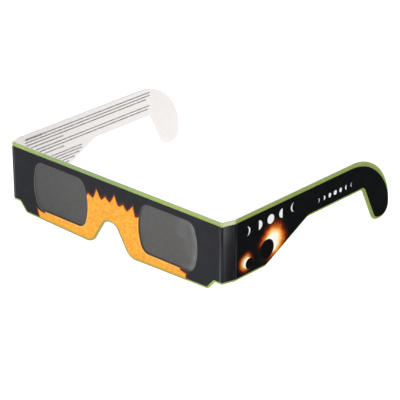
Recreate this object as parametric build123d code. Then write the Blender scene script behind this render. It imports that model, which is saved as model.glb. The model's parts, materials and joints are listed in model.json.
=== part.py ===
"""Folding card viewer: a flat front with two filter windows, and two side arms with ear hooks.

Each panel is a sandwich: a printed facing sheet, an outer board and an inner board. The filter films lie
between the two boards of the front, in pockets of its inner board. An upright crease joins each end of the
front to a narrow spine, and a second crease joins the spine to its side arm. Behind a crease the boards are
cut back to a V, so that they can fold.

Lengths are in millimetres. +Z is up, the front faces -Y and the arms run towards +Y. Left is -X and right
is +X, as seen from the front. Each panel is drawn flat, with its outer face at Y = 0, and the finished
part is moved so that its origin is the bottom centre of its box at rest.
"""

import os
from math import cos, radians, sin, tan

from build123d import *

os.makedirs("parts", exist_ok=True)

# Overall sizes
front_width = 142.0  # from crease to crease
height = 37.8
arm_length = 117.0  # from its crease to the back of the hook
side_foot = 6.2  # lower edge of the front's ends, the spines and the wide part of the arms

# Folding, in degrees: at rest the two folds at each end add up to a square corner
full_fold = 90.0
front_fold = 73.0
temple_fold = full_fold - front_fold
spine_width = 7.0  # from crease to crease

# Layers, from the outer face inwards
print_thickness = 0.1
outer_thickness = 0.4
inner_thickness = 0.5
film_thickness = 0.1
edge_round_share = 0.5  # rounded outline of the outer board, as a share of its thickness

# The printed sheet leaves a border of board, which is widest along the top
print_border = 1.5
print_drop = 0.5  # how far the sheet sits below the middle of its board
print_creep = 0.95  # how far an arm's sheet sits towards the hook

# Creases: a rounded fold of the facing on each axis, with bevelled board ends behind it
crease_radius = 0.3
crease_clearance = 0.05
panel_bevel = 55.0  # degrees, at the ends of the front and of the arms
spine_bevel = full_fold - panel_bevel

# Side notches of the front
notch_level = 4.2  # length of the level part beside the crease
notch_slope = 4.4
notch_inner_radius = 0.8
notch_outer_radius = 2.0
cheek_rise = 1.2  # how much higher the lower edge is beside a side notch than beside the nose

# Nose notch
nose_middle = -1.8  # X of its middle: the photographed notch lies a little to the left
nose_height = 15.0
nose_base_half = 12.6
nose_top_half = 3.3
nose_top_radius = 4.8
nose_base_radius = 7.5

# Windows: what is left of the front round them, and their form
window_sill = 6.2
window_head = 5.3
window_cheek = 15.1  # from the crease
window_bridge = 17.3  # from X = 0
window_bulge = 3.3  # of each side
window_corner_radius = 5.5
window_back_margin = 0.5  # how much larger the windows of the inner board are

# Filter films
film_border = 3.0  # from the window to the film's edge
film_clearance = 0.3  # from the film's edge to its pocket

# Side arms
arm_wide_length = 21.5
arm_taper_length = 30.8
arm_thin_height = 16.2
taper_start_radius = 4.0
taper_end_radius = 3.0

# Ear hooks
hook_width = 22.4  # at the throat, where it leaves the arm
hook_toe_width = 12.5
hook_back_straight = 0.2  # between the rounded back and the rounded tip
hook_tip_radius = 6.6
hook_toe_radius = 6.4
hook_throat_radius = 2.0
hook_foot = 1.1  # the tip's height over the lower edge of the front

overrun = 5.0  # how far blanks and cutters run past what they trim

# Sizes that follow from these
board_stack = print_thickness + outer_thickness + inner_thickness
inner_depth = print_thickness + outer_thickness
window_width = front_width / 2 - window_cheek - window_bridge
window_height = height - window_sill - window_head
hook_back_radius = height - hook_foot - hook_tip_radius - hook_back_straight


def closed_outline(corners):
    """A face in X and Z from corners given as (x, z, corner radius)."""
    points = [(x, z) for x, z, radius in corners]
    return make_face(FilletPolyline(*points, radius=[radius for x, z, radius in corners], close=True))


def front_outline():
    """The front with its side notches and nose notch. Its ends run past the creases."""
    crease = front_width / 2
    right = [
        (crease + overrun, height, 0),
        (crease + overrun, side_foot, 0),
        (crease - notch_level, side_foot, notch_inner_radius),
        (crease - notch_level - notch_slope, cheek_rise, notch_outer_radius),
    ]
    left = [(-x, z, radius) for x, z, radius in reversed(right)]
    nose = [
        (nose_middle + nose_base_half, 0, nose_base_radius),
        (nose_middle + nose_top_half, nose_height, nose_top_radius),
        (nose_middle - nose_top_half, nose_height, nose_top_radius),
        (nose_middle - nose_base_half, 0, nose_base_radius),
    ]
    return closed_outline(right + nose + left)


def spine_outline():
    """A plain strip that runs past both of its creases."""
    return closed_outline([
        (-overrun, side_foot, 0),
        (spine_width + overrun, side_foot, 0),
        (spine_width + overrun, height, 0),
        (-overrun, height, 0),
    ])


def arm_outline():
    """A side arm from its crease at X = 0: wide, then tapered to a thin arm with the ear hook at its end."""
    thin_foot = height - arm_thin_height
    return closed_outline([
        (-overrun, height, 0),
        (arm_length, height, hook_back_radius),
        (arm_length, hook_foot, hook_tip_radius),
        (arm_length - hook_toe_width, hook_foot, hook_toe_radius),
        (arm_length - hook_width, thin_foot, hook_throat_radius),
        (arm_wide_length + arm_taper_length, thin_foot, taper_end_radius),
        (arm_wide_length, side_foot, taper_start_radius),
        (-overrun, side_foot, 0),
    ])


def window_outline(side):
    """One window: level above and below, with bulged sides and round corners."""
    corner_half = window_width / 2 - window_bulge
    top, bottom = window_sill + window_height, window_sill
    middle = window_sill + window_height / 2
    sides = [
        ThreePointArc((x * corner_half, bottom), (x * window_width / 2, middle), (x * corner_half, top))
        for x in (-1, 1)
    ]
    levels = [Line((-corner_half, z), (corner_half, z)) for z in (bottom, top)]
    face = make_face(sides + levels)
    return Pos(side * (window_bridge + window_width / 2), 0) * fillet(face.vertices(), window_corner_radius)


def slab(outline, depth, thickness):
    """An upright sheet whose outer face lies this far behind the panel's outer face, which is at Y = 0."""
    return Pos(0, depth, 0) * extrude(Plane.XZ * outline, amount=-thickness)


def windows(margin, depth, thickness):
    """Sheets in the form of both windows, grown by a margin: cutters, or the films themselves."""
    return [slab(offset(window_outline(side), margin), depth, thickness) for side in (-1, 1)]


def bevelled_end(bevel):
    """A panel's end beside a crease, as (distance from the crease, depth), from the inner face outwards."""
    setback = (crease_radius + crease_clearance) / cos(radians(bevel))
    run = (board_stack - crease_radius) * tan(radians(bevel))
    return [(setback + run, board_stack), (setback, crease_radius), (setback, 0)]


def creased_section(start, end, bevel):
    """An upright prism that keeps what lies between two creases and inside their bevels."""
    near = [(start + distance, depth) for distance, depth in bevelled_end(bevel)]
    far = [(end - distance, depth) for distance, depth in reversed(bevelled_end(bevel))]
    section = make_face(Polyline(*near, *far, close=True))
    return Pos(0, 0, -overrun) * extrude(section, amount=height + 2 * overrun)


def outer_board(outline):
    """The outer board of a panel, with a rounded edge all round its outer face."""
    blank = slab(outline, print_thickness, outer_thickness).solid()
    outer_face = blank.faces().sort_by(Axis.Y)[0]
    return blank.fillet(edge_round_share * outer_thickness, outer_face.edges())


def panel(outline, section, creep=0):
    """The three layers of a panel, trimmed to its creases."""
    printed = Pos(creep, -print_drop) * offset(outline, -print_border, kind=Kind.INTERSECTION)
    layers = {
        "print_sheet": slab(printed, 0, print_thickness),
        "outer_board": outer_board(outline),
        "inner_board": slab(outline, inner_depth, inner_thickness),
    }
    return {name: layer & section for name, layer in layers.items()}


def front_nodes():
    """The front: its layers with both windows, and the two films between its boards."""
    layers = panel(front_outline(), creased_section(-front_width / 2, front_width / 2, panel_bevel))
    through = -overrun, board_stack + 2 * overrun
    pockets = windows(film_border + film_clearance, inner_depth, film_thickness)
    cutters = {
        "print_sheet": windows(0, *through),
        "outer_board": windows(0, *through),
        "inner_board": windows(window_back_margin, *through) + pockets,
    }
    for name, cuts in cutters.items():
        for cut in cuts:
            layers[name] -= cut
    nodes = {f"front_{name}": layer for name, layer in layers.items()}
    films = windows(film_border, inner_depth, film_thickness)
    return nodes | dict(zip(("left_filter_film", "right_filter_film"), films))


def crease_fold(x):
    """The rounded fold of the facing at a crease, as high as the printed sheets beside it."""
    low = side_foot + print_border - print_drop
    high = height - print_border - print_drop
    bead = Cylinder(crease_radius, high - low)
    return Pos(x, crease_radius, (low + high) / 2) * bead


def folded(x, angle):
    """Where a flat panel goes when it is folded by this angle about a crease at X = x."""
    axis = Pos(x, crease_radius, 0)
    return axis * Rot(0, 0, angle) * Pos(0, -crease_radius, 0)


def right_side_nodes():
    """The right spine, its two crease folds and the right arm, at their rest angles."""
    spine_place = folded(front_width / 2, front_fold)
    arm_place = spine_place * folded(spine_width, temple_fold)
    spine = panel(spine_outline(), creased_section(0, spine_width, spine_bevel))
    arm = panel(arm_outline(), creased_section(0, 2 * arm_length, panel_bevel), print_creep)
    nodes = {f"spine_{name}": spine_place * layer for name, layer in spine.items()}
    nodes |= {f"temple_{name}": arm_place * layer for name, layer in arm.items()}
    nodes["front_crease"] = spine_place * crease_fold(0)
    nodes["temple_crease"] = spine_place * crease_fold(spine_width)
    return nodes


nodes = front_nodes()
for name, solid in right_side_nodes().items():
    nodes[f"right_{name}"] = solid
    nodes[f"left_{name}"] = mirror(solid, about=Plane.YZ)

boxes = [solid.bounding_box() for solid in nodes.values()]
middle_depth = (min(box.min.Y for box in boxes) + max(box.max.Y for box in boxes)) / 2
for name, solid in nodes.items():
    export_step(Pos(0, -middle_depth, 0) * solid, f"parts/{name}.step")

temple_axis_x = front_width / 2 + spine_width * cos(radians(front_fold))
temple_axis_y = crease_radius + spine_width * sin(radians(front_fold))
print("front's outer face at Y =", -middle_depth)
print("front crease axis at", front_width / 2, crease_radius - middle_depth)
print("temple crease axis at", temple_axis_x, temple_axis_y - middle_depth)
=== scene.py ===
"""Looks for the folding card eclipse glasses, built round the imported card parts.

Lengths are metres in the mesh code and millimetres in the printed designs. +Z is up, the front faces -Y
and the arms run towards +Y. Left is -X and right is +X, as seen from the front.
"""

import json
from math import cos, radians, sin, sqrt, tan

import bmesh
import bpy
from mathutils import Matrix, Vector


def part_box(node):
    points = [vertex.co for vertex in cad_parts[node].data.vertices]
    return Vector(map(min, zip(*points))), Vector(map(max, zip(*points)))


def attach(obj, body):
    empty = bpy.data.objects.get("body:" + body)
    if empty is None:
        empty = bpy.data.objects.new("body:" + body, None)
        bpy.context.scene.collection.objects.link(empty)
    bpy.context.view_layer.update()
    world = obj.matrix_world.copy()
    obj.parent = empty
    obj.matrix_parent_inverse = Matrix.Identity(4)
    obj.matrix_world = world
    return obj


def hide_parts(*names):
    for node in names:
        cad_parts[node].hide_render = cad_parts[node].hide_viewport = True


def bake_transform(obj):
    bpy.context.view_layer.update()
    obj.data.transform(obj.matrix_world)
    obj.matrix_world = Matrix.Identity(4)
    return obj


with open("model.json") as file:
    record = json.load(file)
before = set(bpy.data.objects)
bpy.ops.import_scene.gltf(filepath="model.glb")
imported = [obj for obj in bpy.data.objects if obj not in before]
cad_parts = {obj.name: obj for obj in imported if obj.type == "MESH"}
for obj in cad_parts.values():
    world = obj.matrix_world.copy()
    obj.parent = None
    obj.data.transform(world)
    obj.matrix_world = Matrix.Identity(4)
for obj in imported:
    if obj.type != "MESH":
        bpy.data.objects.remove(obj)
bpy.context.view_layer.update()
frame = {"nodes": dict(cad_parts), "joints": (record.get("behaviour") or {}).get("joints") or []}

MM = 0.001
SIDES = {"left": -1, "right": 1}
NODES = frame["nodes"]
JOINTS = {joint["name"]: joint for joint in frame["joints"]}

# Sizes of the card, in millimetres and degrees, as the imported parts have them
CREASE_RADIUS = 0.3
CREASE_CLEARANCE = 0.05
CARD_THICKNESS = 1.0
PRINT_THICKNESS = 0.1
PANEL_BEVEL = 55
SPINE_BEVEL = 35
FRONT_FOLD = 73
TEMPLE_FOLD = 17
CARD_FOOT = 6.2
CARD_TOP = 37.8
PRINT_FOOT = 7.2
PRINT_TOP = 35.8
BOARD_ROUNDING = 0.2

# The ear hooks' rounded backs, and the green border painted round them, in millimetres along the arm and up
HOOK_BACK_CENTRE = (87.1, 7.9)
HOOK_BACK_RADIUS = 29.9
HOOK_BORDER_END = 10
HOOK_BORDER_RISE = (11, 31)
HOOK_FOOT_BORDER = 0.6
HOOK_TOP_BORDER = 2.0
HOOK_SWELL = 0.3
HOOK_SWELL_STRETCH = (84, 95)

# How the front's lower edge rises towards its ends, and the level of the sheet's lowest edge
CHEEK_SLOPE = 0.022
PRINT_EDGE_LEVEL = 1.0

# The windows' outline, in millimetres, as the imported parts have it
WINDOW_CENTRE = (36.6, 19.35)
WINDOW_HALF = (19.3, 13.15)
WINDOW_CORNER_HALF = 16.0
WINDOW_CORNER_RADIUS = 5.5


def crease_axis(name):
    """The place of a fold, in millimetres, on the right side."""
    place = JOINTS[name]["pos_m"]
    return Vector((abs(place[0]) / MM, place[1] / MM))


FRONT_AXIS = crease_axis("right_front_fold")
TEMPLE_AXIS = crease_axis("right_temple_fold")


# Paints

# Sockets of a Mix node for colours
MIX_SHARE, MIX_FIRST, MIX_SECOND, MIX_RESULT = 0, 6, 7, 2


class Value:
    """A number that varies over a surface. Python's operators add the Math nodes."""

    def __init__(self, paint, socket):
        self.paint = paint
        self.socket = socket

    def math(self, operation, *others):
        return self.paint.math(operation, self, *others)

    def __add__(self, other):
        return self.math("ADD", other)

    def __sub__(self, other):
        return self.math("SUBTRACT", other)

    def __rsub__(self, other):
        return self.paint.math("SUBTRACT", other, self)

    def __mul__(self, other):
        return self.math("MULTIPLY", other)

    def __truediv__(self, other):
        return self.math("DIVIDE", other)

    def __pow__(self, other):
        return self.math("POWER", other)

    def __abs__(self):
        return self.math("ABSOLUTE")

    __radd__ = __add__

    def less_of(self, other):
        return self.math("MINIMUM", other)

    def more_of(self, other):
        return self.math("MAXIMUM", other)

    def over(self, limit):
        """1 above the limit and 0 below it."""
        return self.math("GREATER_THAN", limit)

    def rises(self, low, high):
        """0 below low, 1 above high, and smooth between them."""
        return self.paint.map_range(self, low, high, 0, 1)

    def falls(self, low, high):
        """1 below low, 0 above high, and smooth between them."""
        return self.paint.map_range(self, low, high, 1, 0)

    def within(self, low, high, edge):
        """1 between low and high, fading to 0 over a soft edge."""
        return self.rises(low - edge, low) * self.falls(high, high + edge)


def socket_name(word):
    """A shader input's name from a Python word, such as coat_weight."""
    return word.replace("_", " ").title().replace("Ior", "IOR")


class Paint:
    """One material and the nodes that paint it."""

    def __init__(self, name, **finish):
        self.material = bpy.data.materials.new(name)
        self.material.use_nodes = True
        self.tree = self.material.node_tree
        self.shader = self.tree.nodes["Principled BSDF"]
        for socket, number in finish.items():
            self.shader.inputs[socket_name(socket)].default_value = number
        place = self.node("ShaderNodeTexCoord")
        self.place = place.outputs["Object"]
        scaled = self.node("ShaderNodeVectorMath", {"operation": "SCALE"}, {0: self.place, "Scale": 1 / MM})
        axes = self.node("ShaderNodeSeparateXYZ", {}, {0: scaled.outputs[0]})
        self.x, self.y, self.z = (Value(self, socket) for socket in axes.outputs)

    def node(self, kind, settings=(), sockets=()):
        """Adds a node with its settings, then the values or links of its sockets."""
        made = self.tree.nodes.new(kind)
        for key, setting in dict(settings).items():
            if key == "stops":
                ramp = made.color_ramp.elements
                while len(ramp) < len(setting):
                    ramp.new(0)
                for element, (at, colour) in zip(ramp, setting):
                    element.position = at
                    element.color = colour
            else:
                setattr(made, key, setting)
        for key, given in dict(sockets).items():
            self.feed(made.inputs[key], given)
        return made

    def feed(self, socket, given):
        """Gives a socket a number, a colour, or a link."""
        given = given.socket if isinstance(given, Value) else given
        if isinstance(given, bpy.types.NodeSocket):
            self.tree.links.new(given, socket)
        else:
            socket.default_value = given

    def math(self, operation, *given):
        sockets = dict(enumerate(given))
        return Value(self, self.node("ShaderNodeMath", {"operation": operation}, sockets).outputs[0])

    def map_range(self, given, low, high, start, end):
        sockets = {"Value": given, "From Min": low, "From Max": high, "To Min": start, "To Max": end}
        mapped = self.node("ShaderNodeMapRange", {"interpolation_type": "SMOOTHSTEP"}, sockets)
        return Value(self, mapped.outputs["Result"])

    def noise(self, grain, detail, roughness=0.5, stretch=(1, 1, 1), spread=0.0):
        """Cloudy noise from 0 to 1 whose spots are about this many millimetres across."""
        place = self.place
        if stretch != (1, 1, 1):
            factors = {0: place, 1: tuple(1 / share for share in stretch)}
            place = self.node("ShaderNodeVectorMath", {"operation": "MULTIPLY"}, factors).outputs[0]
        sockets = {
            "Vector": place,
            "Scale": 1 / (grain * MM),
            "Detail": detail,
            "Roughness": roughness,
            "Distortion": spread,
        }
        return Value(self, self.node("ShaderNodeTexNoise", {}, sockets).outputs["Fac"])

    def ramp(self, given, stops):
        """The colour at this value of a row of (value, colour) stops."""
        stops = [(at, (*colour, 1)) for at, colour in stops]
        return self.node("ShaderNodeValToRGB", {"stops": stops}, {"Fac": given}).outputs["Color"]

    def mix(self, share, first, second):
        """The first colour, turning into the second as the share goes from 0 to 1."""
        given = [(*colour, 1) if isinstance(colour, tuple) else colour for colour in (first, second)]
        sockets = {MIX_SHARE: share, MIX_FIRST: given[0], MIX_SECOND: given[1]}
        return self.node("ShaderNodeMix", {"data_type": "RGBA"}, sockets).outputs[MIX_RESULT]

    def radius(self, across, up, centre):
        """Distance from a centre in a plane of two coordinates."""
        return ((across - centre[0]) ** 2 + (up - centre[1]) ** 2) ** 0.5

    def bump(self, height, depth, strength):
        """Raises the surface by a height from 0 to 1, to this depth in millimetres."""
        sockets = {"Height": height, "Distance": depth * MM, "Strength": strength}
        self.feed(self.shader.inputs["Normal"], self.node("ShaderNodeBump", {}, sockets).outputs[0])

    def finish(self, colour, **varying):
        """Feeds what varies over the surface to the shader."""
        self.feed(self.shader.inputs["Base Color"], colour)
        for socket, given in varying.items():
            self.feed(self.shader.inputs[socket_name(socket)], given)
        return self.material


def linear(red, green, blue):
    """A colour given as it looks on a screen, from 0 to 255, as the light that it stands for."""
    def light(part):
        share = part / 255
        return share / 12.92 if share <= 0.04045 else ((share + 0.055) / 1.055) ** 2.4
    return tuple(light(part) for part in (red, green, blue))


def grey(level):
    """A neutral colour from one screen level."""
    return linear(level, level, level)


def depth_in(paint, panel):
    """How deep a point lies behind a panel's outer face, in millimetres, the same for left and right."""
    turn = {"front": 0, "spine": radians(FRONT_FOLD), "temple": radians(FRONT_FOLD + TEMPLE_FOLD)}[panel]
    axis = FRONT_AXIS if panel != "temple" else TEMPLE_AXIS
    outward = Vector((sin(turn), -cos(turn)))
    face = outward.dot(axis) + CREASE_RADIUS
    return face - (abs(paint.x) * outward.x + paint.y * outward.y)


def arm_coordinates(paint):
    """Along an arm from its crease, and up, in millimetres."""
    return paint.y - TEMPLE_AXIS.y, paint.z


def window_margin(paint):
    """How far inside its window's outline a point of the front lies, in millimetres, or below 0."""
    bulge = WINDOW_HALF[0] - WINDOW_CORNER_HALF
    side_radius = (WINDOW_HALF[1] ** 2 + bulge ** 2) / (2 * bulge)
    side_centre = WINDOW_HALF[0] - side_radius
    corner_up = WINDOW_HALF[1] - WINDOW_CORNER_RADIUS
    corner_reach = sqrt((side_radius - WINDOW_CORNER_RADIUS) ** 2 - corner_up ** 2)
    corner = (side_centre + corner_reach, corner_up)
    across = abs(abs(paint.x) - WINDOW_CENTRE[0])
    up = abs(paint.z - WINDOW_CENTRE[1])
    to_side = side_radius - paint.radius(across, up, (side_centre, 0))
    to_level = WINDOW_HALF[1] - up
    to_corner = WINDOW_CORNER_RADIUS - paint.radius(across, up, corner)
    past_side = ((up - corner[1]) * corner_reach - (across - corner[0]) * corner_up).over(0)
    round_corner = past_side * (across - corner[0]).over(0)
    return to_side.less_of(to_level) * (1 - round_corner) + to_corner * round_corner


# Colours

INK = linear(35, 36, 42)
INK_LEFT = linear(24, 25, 31)
INK_DEEP = linear(6, 9, 10)
INK_SPINE = linear(14, 14, 17)
INK_FRONT_FOLD = linear(24, 24, 28)
INK_ARM_FOLD = linear(6, 6, 8)
# Lighter ink for soft clouds, and for worn lines that carry a painted highlight beside the creases
WORN_AND_HIGHLIGHT_GREY = linear(108, 110, 116)
SPINE_LIGHTER_GREY = linear(84, 84, 85)
SPINE_STREAK_GREY = linear(78, 79, 82)
FRONT_CRACKS = linear(84, 86, 92)
ARM_CRACKS = linear(56, 57, 60)
GREEN = linear(151, 176, 84)
GREEN_LIGHT = linear(175, 197, 116)
GREEN_COOL = linear(126, 156, 110)
ARM_GREEN = linear(127, 148, 52)
ARM_GREEN_LIGHT = linear(148, 168, 84)
HOOK_GREEN = linear(135, 151, 84)
HOOK_GREEN_LIGHT = linear(152, 169, 106)
GREEN_PALE = linear(203, 212, 168)
GREEN_PALE_SHADE = linear(188, 198, 150)
CARD_EDGE = linear(214, 220, 190)
OLIVE = linear(164, 151, 84)
PAPER = linear(247, 243, 241)
PAPER_SHADE = linear(238, 233, 231)
PAPER_LIGHT = linear(250, 248, 246)
RULE = linear(96, 90, 92)
AMBER = linear(254, 188, 67)
TANGERINE = linear(238, 147, 38)
HONEY = linear(255, 210, 104)
EMBER = linear(150, 40, 12)
LIP_SHADOW_BROWN = linear(95, 64, 42)
RIM_HIGHLIGHT = linear(255, 224, 160)
GLOW_WHITE = linear(255, 252, 236)
GLOW_YELLOW = linear(255, 214, 120)
GLOW_ORANGE = linear(236, 118, 32)
GLOW_RED = linear(128, 38, 12)
GLOW_DARK = linear(46, 13, 7)
MOON_WHITE = linear(236, 236, 238)
# Painted sheen and painted glints on the films
SHEEN_GREY = linear(112, 114, 115)
GLINT_GREY = grey(112)
# Window lips: grey, lighter outwards as a painted highlight
LIP_INNER = grey(76)
LIP_OUTER = grey(104)
LIP_FIBRE = grey(88)


# Printed designs

# Half the width of a soft printed edge, in millimetres
PRINT_SOFTNESS = 0.1

# Where ink is worn to a line beside a crease, with a painted highlight on the ridge: distance, how far the
# line fades and how strong it is. The distance is from X = 0 on the front, from the front's face on a spine
# and from its crease on an arm
RIDGE_LINE_CORE = 0.05
FRONT_WEAR_AND_HIGHLIGHT = ((70.1, 0.3, 0.95), (68.9, 0.3, 0.1))
SPINE_WEAR_AND_HIGHLIGHT = ((1.6, 0.45, 0.3), (6.2, 0.3, 0.25))
ARM_WEAR_AND_HIGHLIGHT = ((1.0, 0.25, 0.3),)

# The stretch of X over which the front's ink lightens, and the depths and heights over which the spines'
# ink grows lighter towards the top and the front crease
INK_STRETCH = (-75, 45)
LIGHTER_DEPTHS = (-1.0, 8.0)
LIGHTER_LOW = (8, 22)
LIGHTER_HIGH = (22, 35)

# The rising sun. RAY_TURN is half the angle from ray to ray, in radians, and a RAY_POWER above 1 makes the
# sides of a ray hollow
SUN_CENTRE = (-1.8, -37.5)
SUN_RADIUS = 63.2
RAY_TURN = 0.046
RAY_POWER = 1.3
SHORT_RAY = 2.2
LONG_RAY = 4.8
RAY_BEND = 0.012
SUN_GRAIN = 0.95
SUN_CLOUD = 5
SUN_EDGE = 0.45
DARK_EDGE = (0.2, 2.4)
HALO_REACH = 2.4
# A painted highlight along the windows' cut edge: start, end and fade, in millimetres inside their outline
RIM_HIGHLIGHT_BAND = (-0.55, -0.1, 0.15)

# A sun behind its moon: where its brightest spot lies and how far it glows, in radii, and its colours
BRIGHT_SHIFT = 0.75
GLOW_REACH = 2.6
FACE_REACH = 2.4
GLOW_STOPS = (
    (0.0, GLOW_WHITE), (0.24, GLOW_WHITE), (0.36, GLOW_YELLOW), (0.5, GLOW_ORANGE),
    (0.66, GLOW_RED), (0.82, GLOW_DARK), (1.0, INK_DEEP),
)
FACE_STOPS = ((0, GLOW_WHITE), (0.4, GLOW_WHITE), (0.65, HONEY), (1, TANGERINE))

# The arms' suns: centre along the arm and up, radius, the moon's shift in radii, and glow. The left arm's
# outside, which the photograph doesn't show, has the same figures in another order
RIGHT_SUNS = (
    ((8.6, 12.8), 2.8, (0.5, -0.26), 0.7),
    ((25.0, 16.6), 5.2, (-0.5, -0.3), 1.0),
)
LEFT_SUNS = (
    ((15, 16), 5.0, (0.5, -0.32), 1.0),
    ((33, 20), 2.6, (-0.52, -0.24), 0.7),
)

# The arms' rows of moons: start, step, radius, and each moon's lit side and edge of shadow
MOON_ROWS = (
    ((8, 29.2), (8.5, 0.3), 2.4, ((1, 0.6), (1, 0.0), (1, -1.0), (-1, 0.0), (-1, 0.6))),
    (
        (60, 27.4), (4.4, 0), 1.2,
        ((1, 0.65), (1, 0.1), (1, -0.55), (1, -1.0), (-1, -0.55), (-1, 0.1), (-1, 0.65)),
    ),
)

# Rules inside the arms: level, start, end and half the thickness
THICK = 0.42
THIN = 0.2
RULES = (
    (35.1, 3.0, 15.0, THICK), (35.1, 15.0, 94.0, THIN), (33.4, 3.0, 94.0, THIN), (31.7, 3.0, 91.0, THIN),
    (29.7, 3.0, 29.5, THIN), (27.5, 3.0, 93.5, THIN), (25.8, 3.0, 92.5, THIN), (23.8, 3.0, 30.0, THIN),
    (20.8, 3.0, 42.6, THIN), (19.2, 3.0, 42.6, THIN), (17.5, 3.0, 40.8, THIN), (15.9, 3.0, 37.2, THIN),
    (14.3, 3.0, 33.0, THIN),
)
RULE_EDGE = 0.24

# Green: where the front's border is cooler, as start, end and fade in X, and where painted shade darkens the
# spines' foot
COOL_STRETCH = (-40, 0, 25)
FOOT_SHADE_HEIGHTS = (7.4, 9.0)

# Films: where they lighten with height, and how near the window's outline and how far out a painted sheen
# lies on the outer side. For each film: its grey on a screen, the strength of that painted sheen as its glow,
# and painted glints as (X, Z, radius, strength). Both films are one material: the right one's lighter grey is
# painted reflection
FILM_HEIGHTS = (4, 34)
SHEEN_MARGIN = (1.4, 4.2)
SHEEN_STRETCH = (43, 55)
SPOT_SQUASH = 0.7
FILMS = {
    "left": {"level": 46, "glow": 0.0, "glints": ((-24, 20, 26.0, 0.11),)},
    "right": {"level": 66, "glow": 0.8, "glints": ((45.5, 27.5, 6.0, 0.3), (52, 19, 7.0, 0.25))},
}


def ink_surface(paint, ink, cloudiness, distance, wear_and_highlight_lines):
    """Printed sheet's coated ink: nearly even, with soft clouds, and worn lines with painted highlights by
    creases.
    """
    streak = paint.noise(1.2, 2, stretch=(1, 1, 14))
    colour = paint.mix(paint.noise(9, 3).rises(0.4, 0.7) * cloudiness, ink, WORN_AND_HIGHLIGHT_GREY)
    # Each line is worn ink with a painted highlight where a crease's ridge catches the light
    for place, reach, share in wear_and_highlight_lines:
        line = abs(distance - place).falls(RIDGE_LINE_CORE, reach) * share
        colour = paint.mix(line * streak.rises(0.25, 0.6), colour, WORN_AND_HIGHLIGHT_GREY)
    return colour


def sun_reach(paint):
    """How far a point of the front lies inside the rising sun and its pointed rays, in millimetres."""
    across, up = paint.x - SUN_CENTRE[0], paint.z - SUN_CENTRE[1]
    bend = (paint.noise(7, 1) - 0.5) * RAY_BEND
    angle = paint.math("ARCTAN2", across, up) + bend
    ray = paint.math("PINGPONG", angle, RAY_TURN) / RAY_TURN
    every_other = paint.math("PINGPONG", angle + RAY_TURN, 2 * RAY_TURN) / (2 * RAY_TURN)
    length = SHORT_RAY + every_other.rises(0.45, 0.55) * (LONG_RAY - SHORT_RAY)
    return SUN_RADIUS + ray ** RAY_POWER * length - paint.radius(across, up, (0, 0))


def sunrise(paint, colour):
    """The front's picture: a rising sun whose rays fan out between and under the windows."""
    reach = sun_reach(paint)
    inside = (reach + paint.noise(0.8, 2) * 0.4).rises(0.0, SUN_EDGE)
    grain = paint.noise(SUN_GRAIN, 4, 0.65, stretch=(1.5, 1, 1), spread=0.4)
    cloud = paint.noise(SUN_CLOUD, 3)
    flame = paint.mix(grain.rises(0.22, 0.7), TANGERINE, AMBER)
    flame = paint.mix(grain.rises(0.48, 0.76) * cloud.rises(0.35, 0.7) * 0.6, flame, HONEY)
    flame = paint.mix(reach.falls(*DARK_EDGE) * 0.45, flame, TANGERINE)
    # A painted highlight on the orange just outside each window's cut edge
    rim = window_margin(paint).within(*RIM_HIGHLIGHT_BAND)
    flame = paint.mix(rim * 0.3, flame, RIM_HIGHLIGHT)
    foot = (paint.z - abs(paint.x) * CHEEK_SLOPE).falls(PRINT_EDGE_LEVEL, PRINT_EDGE_LEVEL + 1)
    flame = paint.mix(foot * 0.35, flame, OLIVE)
    halo = (0 - reach).falls(0.0, HALO_REACH) * 0.55
    return paint.mix(inside, paint.mix(halo, colour, EMBER), flame)


def sun_and_moon(paint, across, up, colour, centre, size, moon, glow):
    """A sun half hidden by a round moon: a bright crescent with an orange glow that dies away to dark red."""
    shade = paint.radius(across, up, (centre[0] + moon[0] * size, centre[1] + moon[1] * size))
    bright = (centre[0] - moon[0] * size * BRIGHT_SHIFT, centre[1] - moon[1] * size * BRIGHT_SHIFT)
    flare = paint.radius(across, up, bright) / size * (paint.noise(5, 3) * 0.5 + 0.75)
    lit = paint.ramp(flare / GLOW_REACH, GLOW_STOPS)
    colour = paint.mix(flare.falls(1.0, GLOW_REACH) * glow, colour, lit)
    disc = paint.radius(across, up, centre).falls(size * 0.92, size * 1.03)
    colour = paint.mix(disc, colour, paint.ramp(flare / FACE_REACH, FACE_STOPS))
    return paint.mix(shade.falls(size * 0.95, size * 1.01), colour, INK_DEEP)


def moon_row(paint, across, up, colour, start, step, size, phases):
    """A row of small moons. A phase is the lit side and the edge of the shadow, from -1, full, to 1, new."""
    for index, (lit_side, edge) in enumerate(phases):
        centre = (start[0] + step[0] * index, start[1] + step[1] * index)
        disc = paint.radius(across, up, centre).falls(size - PRINT_SOFTNESS, size + PRINT_SOFTNESS)
        chord = (size ** 2 - (up - centre[1]) ** 2).more_of(0) ** 0.5
        past_edge = (across - centre[0]) * lit_side - chord * edge
        lit = past_edge.rises(-PRINT_SOFTNESS, PRINT_SOFTNESS) * disc
        colour = paint.mix(lit, colour, MOON_WHITE)
    return colour


def arm_picture(paint, along, up, colour, suns):
    """Suns behind their moons under a row of moons, with a longer row further along the arm."""
    for sun in suns:
        colour = sun_and_moon(paint, along, up, colour, *sun)
    for row in MOON_ROWS:
        colour = moon_row(paint, along, up, colour, *row)
    return colour


def ruled_lines(paint, along, up):
    """Thin grey rules in blocks along an arm's inside."""
    total = None
    for level, start, end, half in RULES:
        line = abs(up - level).falls(half, half + RULE_EDGE) * along.within(start, end, PRINT_SOFTNESS)
        total = line if total is None else total.more_of(line)
    return total * (paint.noise(0.9, 2).rises(0.3, 0.65) * 0.35 + 0.6)


# Finishes of the card parts


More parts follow.
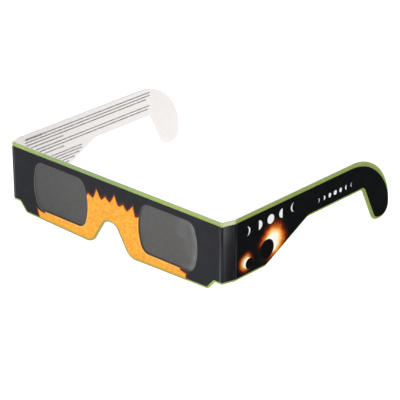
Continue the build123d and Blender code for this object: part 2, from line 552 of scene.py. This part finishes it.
def front_print_finish():
    """Charcoal ink with the sunrise, a little deeper to the left, with worn lines and painted highlights by
    creases.
    """
    paint = Paint("front print", specular_ior_level=0.1)
    ink = paint.mix(paint.x.rises(*INK_STRETCH), INK_LEFT, INK)
    colour = sunrise(paint, ink_surface(paint, ink, 0.03, abs(paint.x), FRONT_WEAR_AND_HIGHLIGHT))
    fibre = paint.noise(0.35, 3)
    paint.bump(fibre * 0.6 + paint.noise(6, 2) * 0.4, 0.02, 0.35)
    return paint.finish(colour, roughness=0.36 + fibre * 0.14)


def spine_print_finish():
    """Charcoal ink with soft upright streaks, lightest at the top beside the front crease."""
    paint = Paint("spine print", specular_ior_level=0.03)
    back = depth_in(paint, "front")
    streak = paint.noise(0.7, 3, stretch=(1, 1, 40))
    height = paint.z.rises(*LIGHTER_LOW) * 0.12 + paint.z.rises(*LIGHTER_HIGH) * 0.64 + 0.2
    lighter_share = back.falls(*LIGHTER_DEPTHS) * height
    ink = paint.mix(lighter_share, INK_SPINE, SPINE_LIGHTER_GREY)
    colour = ink_surface(paint, ink, 0.03, back, SPINE_WEAR_AND_HIGHLIGHT)
    colour = paint.mix(streak.rises(0.45, 0.75) * lighter_share * 0.4, colour, SPINE_STREAK_GREY)
    paint.bump(streak, 0.03, 0.3)
    return paint.finish(colour, roughness=0.36 + streak * 0.12)


def mottled_green(paint, face, light):
    """Green card with fibres of a lighter green, and the fibres' own height."""
    fibre = paint.noise(0.8, 3, stretch=(3, 3, 1))
    return paint.mix(fibre.rises(0.35, 0.7) * 0.6, face, light), fibre


def hook_border(paint, along, up):
    """1 in the green border round a hook's back, which is widest at the top and runs out towards the tip."""
    past = (along - HOOK_BACK_CENTRE[0]).more_of(0)
    inward = HOOK_BACK_RADIUS - paint.radius(past, up, (0, HOOK_BACK_CENTRE[1]))
    growth = HOOK_TOP_BORDER - HOOK_FOOT_BORDER + along.rises(*HOOK_SWELL_STRETCH) * HOOK_SWELL
    width = up.rises(*HOOK_BORDER_RISE) * growth + HOOK_FOOT_BORDER
    return (inward - width).falls(-PRINT_SOFTNESS, PRINT_SOFTNESS) * up.over(HOOK_BORDER_END)


def temple_print_finish(name, suns):
    """Deep black ink with a picture along the arm, inside a green border at the hook."""
    paint = Paint(name, specular_ior_level=0.01)
    along, up = arm_coordinates(paint)
    ink = ink_surface(paint, INK_DEEP, 0.008, along, ARM_WEAR_AND_HIGHLIGHT)
    picture = arm_picture(paint, along, up, ink, suns)
    hook_green = mottled_green(paint, HOOK_GREEN, HOOK_GREEN_LIGHT)[0]
    colour = paint.mix(hook_border(paint, along, up), picture, hook_green)
    fibre = paint.noise(0.35, 3)
    paint.bump(fibre, 0.015, 0.3)
    return paint.finish(colour, roughness=0.36 + fibre * 0.14)


def painted_foot_shade(paint, colour):
    """The pale green of the spines and folds, with painted shade darkening it along the foot."""
    # Painted shade: the foot turns to the darker arm green
    return paint.mix(paint.z.falls(*FOOT_SHADE_HEIGHTS) * 0.8, colour, ARM_GREEN)


def green_board_finish(name, panel, face, light):
    """A board with a green border and a paler cut edge.

    The front's is cooler left of the middle and olive beside the sun. The spines' is darker along the foot,
    as painted shade.
    """
    paint = Paint(name, ior=1.45, roughness=0.55)
    colour, fibre = mottled_green(paint, face, light)
    if panel == "front":
        colour = paint.mix(paint.x.within(*COOL_STRETCH) * 0.5, colour, GREEN_COOL)
    colour = paint.mix(depth_in(paint, panel).rises(0.2, 0.34) * 0.8, colour, CARD_EDGE)
    if panel == "front":
        colour = paint.mix(sun_reach(paint).rises(-1.0, 0.5) * 0.8, colour, OLIVE)
    if panel == "spine":
        colour = painted_foot_shade(paint, colour)
    paint.bump(fibre, 0.02, 0.4)
    return paint.finish(colour)


def paper_finish(name, rules=False):
    """Uncoated white board: fine fibres and a soft mottle. An arm's inside may have thin printed rules."""
    paint = Paint(name, ior=1.4, roughness=0.8)
    fibre = paint.noise(0.5, 4, 0.65)
    mottle = paint.noise(5, 2)
    colour = paint.mix(fibre.rises(0.3, 0.7) * 0.5, PAPER, PAPER_SHADE)
    colour = paint.mix(mottle.rises(0.4, 0.8) * 0.4, colour, PAPER_LIGHT)
    if rules:
        along, up = arm_coordinates(paint)
        colour = paint.mix(ruled_lines(paint, along, up), colour, RULE)
    paint.bump(fibre, 0.03, 0.5)
    return paint.finish(colour)


def film_finish(name, level, glow, glints):
    """Dark grey filter film: smooth, faintly mirrored, with painted glints and a painted sheen by its outer
    side.
    """
    paint = Paint(name, ior=1.5)
    blotch = paint.noise(7, 2)
    mottle = paint.noise(2.2, 3)
    sheen_streaks = paint.noise(2.6, 2, stretch=(1, 1, 3)).rises(0.35, 0.6) * 0.5 + 0.6
    colour = paint.mix(paint.z.rises(*FILM_HEIGHTS) * 0.6, grey(level - 2), grey(level + 5))
    colour = paint.mix(mottle.rises(0.35, 0.65) * 0.2, colour, grey(level + 24))
    # A painted sheen along each window's outer side, in upright streaks
    outer_side = window_margin(paint).falls(*SHEEN_MARGIN) * abs(paint.x).rises(*SHEEN_STRETCH)
    colour = paint.mix(outer_side * sheen_streaks * glow, colour, SHEEN_GREY)
    # Painted glints: soft spots of reflected light
    for across, up, size, share in glints:
        spot = paint.radius(paint.x, (paint.z - up) * SPOT_SQUASH, (across, 0)).falls(size * 0.2, size)
        colour = paint.mix(spot * (blotch.rises(0.3, 0.6) * 0.4 + 0.6) * share, colour, GLINT_GREY)
    paint.bump(blotch, 0.05, 0.2)
    return paint.finish(colour, roughness=0.32 + blotch * 0.1)


def fold_ink_finish(name, ink, cracked, gloss):
    """Ink over a crease, cracked to lighter upright streaks."""
    paint = Paint(name, specular_ior_level=gloss)
    streak = paint.noise(0.5, 3, stretch=(1, 1, 30))
    colour = paint.mix(streak.rises(0.4, 0.75) * 0.5, ink, cracked)
    paint.bump(streak, 0.03, 0.5)
    return paint.finish(colour, roughness=0.34 + streak * 0.15)


def mottled_finish(name, first, second, grain):
    """Fine card fibres of two colours, with painted shade darkening them along the foot."""
    paint = Paint(name, roughness=0.6)
    fibre = paint.noise(grain, 3)
    colour = painted_foot_shade(paint, paint.mix(fibre.rises(0.3, 0.7), first, second))
    paint.bump(fibre, 0.02, 0.4)
    return paint.finish(colour)


def lip_finish():
    """The card's cut edge, pressed down to the film round a window: grey, lightening outwards as a painted
    highlight, and brown in the sunrise as a painted shadow.
    """
    paint = Paint("window lip", ior=1.4, roughness=0.6)
    fibre = paint.noise(0.6, 3)
    # Painted highlight: lighter towards each window's outer side
    colour = paint.mix(abs(paint.x).rises(*LIP_STRETCH), LIP_INNER, LIP_OUTER)
    colour = paint.mix(fibre.rises(0.3, 0.7) * 0.5, colour, LIP_FIBRE)
    # Painted shadow: brown where the lip meets the sunrise
    return paint.finish(paint.mix(sun_reach(paint).rises(-0.3, 0.3), colour, LIP_SHADOW_BROWN))


# Folds and window lips

# Folds: the steps of a bend, how far behind the axis the point lies that the inside is drawn to, the height
# of the print's slanted ends and the turns of the boards' rounding, in millimetres and degrees
FOLD_STEPS = 10
PRESSED_DEPTH = 0.3
PRINT_EDGE = 0.02
ROUNDING_TURNS = (20, 55, 90)
INK_FACE, BORDER_FACE, INSIDE_FACE, CUT_FACE = range(4)

# Lips: their sizes in metres, the stretch over which a painted highlight lightens them outwards, in
# millimetres, and how near to each other points count as joined or as level
LIP_STRETCH = (42, 55)
LIP_SIZES = {"Lip width": 0.00050, "Lip top": 0.00004, "Lip low": 0.00028, "Lip foot": 0.00050, "Face": 0.0}
JOINED = 1e-7
LEVEL = 1e-6


def piece(name, mesh, finishes):
    """A new object at the origin from a finished mesh."""
    made = bpy.data.objects.new(name, mesh)
    bpy.context.scene.collection.objects.link(made)
    for finish in finishes:
        mesh.materials.append(finish)
    return made


def fold_section(bevels, fold, outer):
    """A fold's cross-section in its first panel's plane, as rows of points: outside, then inside.

    A point is (along, depth) from the axis. The outside runs flush with the card on both sides and
    round the axis. The inside is pressed in towards the axis between the two bevelled ends.
    """
    card_back = CARD_THICKNESS - CREASE_RADIUS
    setbacks = [(CREASE_RADIUS + CREASE_CLEARANCE) / cos(radians(bevel)) for bevel in bevels]
    runs = [card_back * tan(radians(bevel)) for bevel in bevels]

    def turned(along, depth, angle):
        return Vector((along * cos(angle) - depth * sin(angle), along * sin(angle) + depth * cos(angle)))

    outside = [Vector((-setbacks[0], -outer))]
    outside += [turned(0, -outer, fold * step / FOLD_STEPS) for step in range(FOLD_STEPS + 1)]
    outside += [turned(setbacks[1], -outer, fold)]
    first_back = Vector((-setbacks[0] - runs[0], card_back))
    second_back = turned(setbacks[1] + runs[1], card_back, fold)
    pressed = turned(0, PRESSED_DEPTH, fold / 2)
    inside = [turned(setbacks[1], 0, fold)]
    for step in range(FOLD_STEPS + 1):
        share = step / FOLD_STEPS
        rest = 1 - share
        inside.append(rest ** 2 * second_back + 2 * share * rest * pressed + share ** 2 * first_back)
    inside += [Vector((-setbacks[0], 0))]
    return outside, inside


def fold_levels():
    """A fold's heights, each with how far out its outside reaches: rounded ends and a printed middle."""
    border = CREASE_RADIUS - PRINT_THICKNESS
    rounding = []
    for turn in ROUNDING_TURNS:
        rise = BOARD_ROUNDING * (1 - cos(radians(turn)))
        pull = BOARD_ROUNDING * (1 - sin(radians(turn)))
        rounding.append((rise, pull))
    foot = [(CARD_FOOT + rise, border - pull) for rise, pull in rounding]
    top = [(CARD_TOP - rise, border - pull) for rise, pull in reversed(rounding)]
    printed = [(PRINT_FOOT, CREASE_RADIUS), (PRINT_TOP, CREASE_RADIUS)]
    return foot + [(PRINT_FOOT - PRINT_EDGE, border)] + printed + [(PRINT_TOP + PRINT_EDGE, border)] + top


def fold_piece(name, side, axis, start_turn, fold, bevels, finishes):
    """The card that bends round one crease, from foot to top, with its printed skin and green border."""
    levels = fold_levels()
    turn = Matrix.Rotation(start_turn, 2)
    mesh = bmesh.new()
    rings = []
    for height, outer in levels:
        outside, inside = fold_section(bevels, fold, outer)
        ring = []
        for point in outside + inside:
            place = axis + turn @ point
            ring.append(mesh.verts.new((side * place.x * MM, place.y * MM, height * MM)))
        rings.append(ring)
    count = len(rings[0])
    for index, (low, high) in enumerate(zip(rings, rings[1:])):
        middle_height = (levels[index][0] + levels[index + 1][0]) / 2
        skin = INK_FACE if PRINT_FOOT < middle_height < PRINT_TOP else BORDER_FACE
        for k in range(count):
            after = (k + 1) % count
            face = mesh.faces.new((low[k], low[after], high[after], high[k]))
            face.smooth = k < len(outside) - 1 or k > len(outside)
            face.material_index = skin if k < len(outside) - 1 else INSIDE_FACE
    for ring in (rings[0], rings[-1]):
        cap = mesh.faces.new(ring)
        cap.material_index = CUT_FACE
    bmesh.ops.triangulate(mesh, faces=[face for face in mesh.faces if len(face.verts) > 4])
    bmesh.ops.recalc_face_normals(mesh, faces=mesh.faces)
    data = bpy.data.meshes.new(name)
    mesh.to_mesh(data)
    mesh.free()
    return piece(name, data, finishes)


def fold_ends(axis, start_turn, fold, bevels, side):
    """Where a fold starts and stops bending, across the bisector of its two bevelled ends."""
    outside, inside = fold_section(bevels, fold, CREASE_RADIUS)
    first = [outside[0], inside[-2]]
    second = [outside[-1], inside[1]]
    across = Vector((cos(fold / 2), sin(fold / 2)))
    low = max(across.dot(point) for point in first)
    high = min(across.dot(point) for point in second)
    ends = []
    for reach in (low, high):
        place = axis + Matrix.Rotation(start_turn, 2) @ (across * reach)
        ends.append((side * place.x * MM, place.y * MM, CARD_FOOT * MM))
    return ends


def window_outlines(sheet):
    """Both window outlines of the printed sheet, as closed rows of (x, z) points, left window first."""
    copy = bmesh.new()
    copy.from_mesh(sheet.data)
    bmesh.ops.remove_doubles(copy, verts=copy.verts, dist=JOINED)
    face_y = min(vert.co.y for vert in copy.verts)
    rim = [
        edge for edge in copy.edges
        if all(abs(vert.co.y - face_y) < LEVEL for vert in edge.verts)
        and any(abs(face.normal.y) < 0.5 for face in edge.link_faces)
    ]
    neighbours = {}
    for edge in rim:
        for vert in edge.verts:
            neighbours.setdefault(vert, []).append(edge.other_vert(vert))
    loops = []
    unseen = set(neighbours)
    while unseen:
        here = min(unseen, key=lambda vert: (vert.co.x, vert.co.z))
        loop = []
        while here in unseen:
            unseen.discard(here)
            loop.append((here.co.x, here.co.z))
            here = next((other for other in neighbours[here] if other in unseen), here)
        loops.append(loop)
    copy.free()
    loops.sort(key=lambda loop: max(x for x, z in loop) - min(x for x, z in loop))
    windows = sorted(loops[:2], key=lambda loop: loop[0][0])
    for loop in windows:
        area = sum(a[0] * b[1] - b[0] * a[1] for a, b in zip(loop, loop[1:] + loop[:1]))
        if area < 0:
            loop.reverse()
    return windows


def lip_tree():
    """A Geometry Nodes tree that sweeps a bevelled lip round a flat closed outline and stands it upright."""
    tree = bpy.data.node_groups.new("window lip sweep", "GeometryNodeTree")
    tree.interface.new_socket("Outline", in_out="INPUT", socket_type="NodeSocketGeometry")
    for name, size in LIP_SIZES.items():
        tree.interface.new_socket(name, in_out="INPUT", socket_type="NodeSocketFloat").default_value = size
    tree.interface.new_socket("Finish", in_out="INPUT", socket_type="NodeSocketMaterial")
    tree.interface.new_socket("Lip", in_out="OUTPUT", socket_type="NodeSocketGeometry")
    given = tree.nodes.new("NodeGroupInput").outputs
    result = tree.nodes.new("NodeGroupOutput").inputs[0]

    def add(kind, sockets, **settings):
        made = tree.nodes.new(kind)
        for key, setting in settings.items():
            setattr(made, key, setting)
        for key, value in sockets.items():
            if isinstance(value, bpy.types.NodeSocket):
                tree.links.new(value, made.inputs[key])
            else:
                made.inputs[key].default_value = value
        return made.outputs[0]

    def point(inward, deep):
        return add("ShaderNodeCombineXYZ", {0: inward, 1: deep})

    path = add("GeometryNodeMeshToCurve", {0: given["Outline"]})
    path = add("GeometryNodeSetCurveNormal", {0: path}, mode="Z_UP")
    width = add("ShaderNodeMath", {0: given["Lip width"], 1: -1.0}, operation="MULTIPLY")
    corners = {
        "Point 1": point(0.0, given["Lip top"]),
        "Point 2": point(width, given["Lip low"]),
        "Point 3": point(width, given["Lip foot"]),
        "Point 4": point(0.0, given["Lip foot"]),
    }
    profile = add("GeometryNodeCurvePrimitiveQuadrilateral", corners, mode="POINTS")
    swept = add("GeometryNodeCurveToMesh", {"Curve": path, "Profile Curve": profile})
    place = add("ShaderNodeCombineXYZ", {1: given["Face"]})
    standing = {"Geometry": swept, "Rotation": (radians(90), 0, 0), "Translation": place}
    upright = add("GeometryNodeTransform", standing)
    coloured = add("GeometryNodeSetMaterial", {"Geometry": upright, "Material": given["Finish"]})
    tree.links.new(add("GeometryNodeRealizeInstances", {0: coloured}), result)
    return tree


def window_lip(name, outline, tree, finish):
    """One window's lip as a plain mesh."""
    flat = bpy.data.meshes.new(name + " outline")
    count = len(outline)
    flat.from_pydata([(x, z, 0) for x, z in outline], [(k, (k + 1) % count) for k in range(count)], [])
    made = bpy.data.objects.new(name, flat)
    bpy.context.scene.collection.objects.link(made)
    sweep = made.modifiers.new("lip", "NODES")
    sweep.node_group = tree
    sockets = {item.name: item.identifier for item in tree.interface.items_tree if item.in_out == "INPUT"}
    sweep[sockets["Face"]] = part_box("front_print_sheet")[0].y
    sweep[sockets["Finish"]] = finish
    depsgraph = bpy.context.evaluated_depsgraph_get()
    baked = bpy.data.meshes.new_from_object(made.evaluated_get(depsgraph))
    made.modifiers.clear()
    made.data = baked
    return made


# Stage

LAMPS = {
    "key light": {"place": (-0.5, -0.9, 1.1), "size": 0.9, "power": 3},
    "fill light": {"place": (0.9, -0.5, 0.7), "size": 0.8, "power": 1},
}
SKY_STRENGTH = 0.62
FLOOR_GLOW = 0.6
FLOOR_HALF = 6

# The photograph's viewpoint, in degrees, metres and pixels of a 400-pixel frame
VIEW_TURN = 42.597
VIEW_RISE = 24.630
VIEW_DISTANCE = 0.931732
VIEW_ACROSS = 0.042350
VIEW_ABOVE = 0.008806
VIEW_HEIGHT = 0.018
FOCAL_PIXELS = 1921.40
FRAME_PIXELS = 400
SENSOR = 36


def lamp(name, place, size, power):
    """A soft square white lamp that looks at the glasses."""
    data = bpy.data.lights.new(name, "AREA")
    data.size = size
    data.energy = power
    made = bpy.data.objects.new(name, data)
    bpy.context.scene.collection.objects.link(made)
    made.location = place
    made.rotation_euler = Vector(place).to_track_quat("Z", "Y").to_euler()


def stage():
    """A plain white floor under soft white light."""
    grid = bmesh.new()
    bmesh.ops.create_grid(grid, x_segments=1, y_segments=1, size=FLOOR_HALF)
    data = bpy.data.meshes.new("floor")
    grid.to_mesh(data)
    grid.free()
    paint = Paint("floor white", roughness=0.9, emission_strength=FLOOR_GLOW, emission_color=(1, 1, 1, 1))
    paint.finish(paint.mix(paint.noise(40, 2) * 0.3, (0.96, 0.96, 0.96), (0.98, 0.98, 0.98)))
    piece("floor", data, [paint.material])
    world = bpy.data.worlds.new("studio")
    bpy.context.scene.world = world
    world.use_nodes = True
    sky = world.node_tree.nodes["Background"]
    sky.inputs["Color"].default_value = (1, 1, 1, 1)
    sky.inputs["Strength"].default_value = SKY_STRENGTH
    for name, settings in LAMPS.items():
        lamp(name, **settings)
    bpy.context.scene.view_settings.view_transform = "Standard"


def camera():
    """The photograph's viewpoint, to the right of the front and above it."""
    turn, rise = radians(VIEW_TURN), radians(VIEW_RISE)
    across = Vector((cos(turn), sin(turn), 0))
    back = Vector((sin(turn) * cos(rise), -cos(turn) * cos(rise), sin(rise)))
    above = back.cross(across)
    middle = Vector((0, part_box("front_print_sheet")[0].y, VIEW_HEIGHT))
    middle += VIEW_ACROSS * across + VIEW_ABOVE * above
    lens = bpy.data.cameras.new("camera")
    lens.sensor_fit = "HORIZONTAL"
    lens.sensor_width = SENSOR
    lens.lens = FOCAL_PIXELS / FRAME_PIXELS * SENSOR
    lens.clip_start = 0.01
    lens.clip_end = 20
    made = bpy.data.objects.new("camera", lens)
    bpy.context.scene.collection.objects.link(made)
    place = Matrix((across, above, back)).transposed().to_4x4()
    place.translation = middle + VIEW_DISTANCE * back
    made.matrix_world = place
    bpy.context.scene.camera = made


# Everything together


def give(node, finish):
    """Gives a card part its finish."""
    slots = NODES[node].data.materials
    if not slots:
        slots.append(finish)
    for index in range(len(slots)):
        slots[index] = finish


def dress_front():
    """Gives the front its finishes and its windows their lips."""
    give("front_print_sheet", front_print_finish())
    give("front_outer_board", green_board_finish("front green board", "front", GREEN, GREEN_LIGHT))
    give("front_inner_board", paper_finish("front white card"))
    for side_name, film in FILMS.items():
        give(f"{side_name}_filter_film", film_finish(f"{side_name} film", **film))
    finish = lip_finish()
    tree = lip_tree()
    for side_name, outline in zip(SIDES, window_outlines(NODES["front_print_sheet"])):
        lip = window_lip(f"{side_name}_window_lip", outline, tree, finish)
        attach(lip, "front")


def dress_sides():
    """Gives the spines and arms their finishes, and bends a fold of card round each crease."""
    white_card = paper_finish("white card")
    ruled_card = paper_finish("ruled white card", rules=True)
    spine_ink = spine_print_finish()
    spine_green = green_board_finish("spine green board", "spine", GREEN_PALE, GREEN_PALE_SHADE)
    arm_green = green_board_finish("arm green board", "temple", ARM_GREEN, ARM_GREEN_LIGHT)
    fold_green = mottled_finish("fold green", GREEN_LIGHT, GREEN_PALE, 0.6)
    fold_edge = mottled_finish("fold cut edge", CARD_EDGE, GREEN_PALE, 0.4)
    front_fold_ink = fold_ink_finish("front fold ink", INK_FRONT_FOLD, FRONT_CRACKS, 0.1)
    temple_fold_ink = fold_ink_finish("temple fold ink", INK_ARM_FOLD, ARM_CRACKS, 0.04)
    give("right_temple_print_sheet", temple_print_finish("right temple print", RIGHT_SUNS))
    give("left_temple_print_sheet", temple_print_finish("left temple print", LEFT_SUNS))
    for side_name, side in SIDES.items():
        give(f"{side_name}_spine_print_sheet", spine_ink)
        give(f"{side_name}_spine_outer_board", spine_green)
        give(f"{side_name}_spine_inner_board", white_card)
        give(f"{side_name}_temple_outer_board", arm_green)
        give(f"{side_name}_temple_inner_board", ruled_card)
        spine, temple = f"{side_name}_spine", f"{side_name}_temple"
        front_bend = FRONT_AXIS, 0, radians(FRONT_FOLD), (PANEL_BEVEL, SPINE_BEVEL)
        temple_bend = TEMPLE_AXIS, radians(FRONT_FOLD), radians(TEMPLE_FOLD), (SPINE_BEVEL, PANEL_BEVEL)
        folds = (
            ("front", front_bend, front_fold_ink, "front", spine),
            ("temple", temple_bend, temple_fold_ink, spine, temple),
        )
        for crease, (axis, start_turn, fold, bevels), ink, near_body, far_body in folds:
            finishes = [ink, fold_green, white_card, fold_edge]
            bent = fold_piece(f"{side_name}_{crease}_fold", side, axis, start_turn, fold, bevels, finishes)
            start, end = fold_ends(axis, start_turn, fold, bevels, side)
            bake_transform(bent)
            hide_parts(f"{side_name}_{crease}_crease")


camera()
stage()
dress_front()
dress_sides()
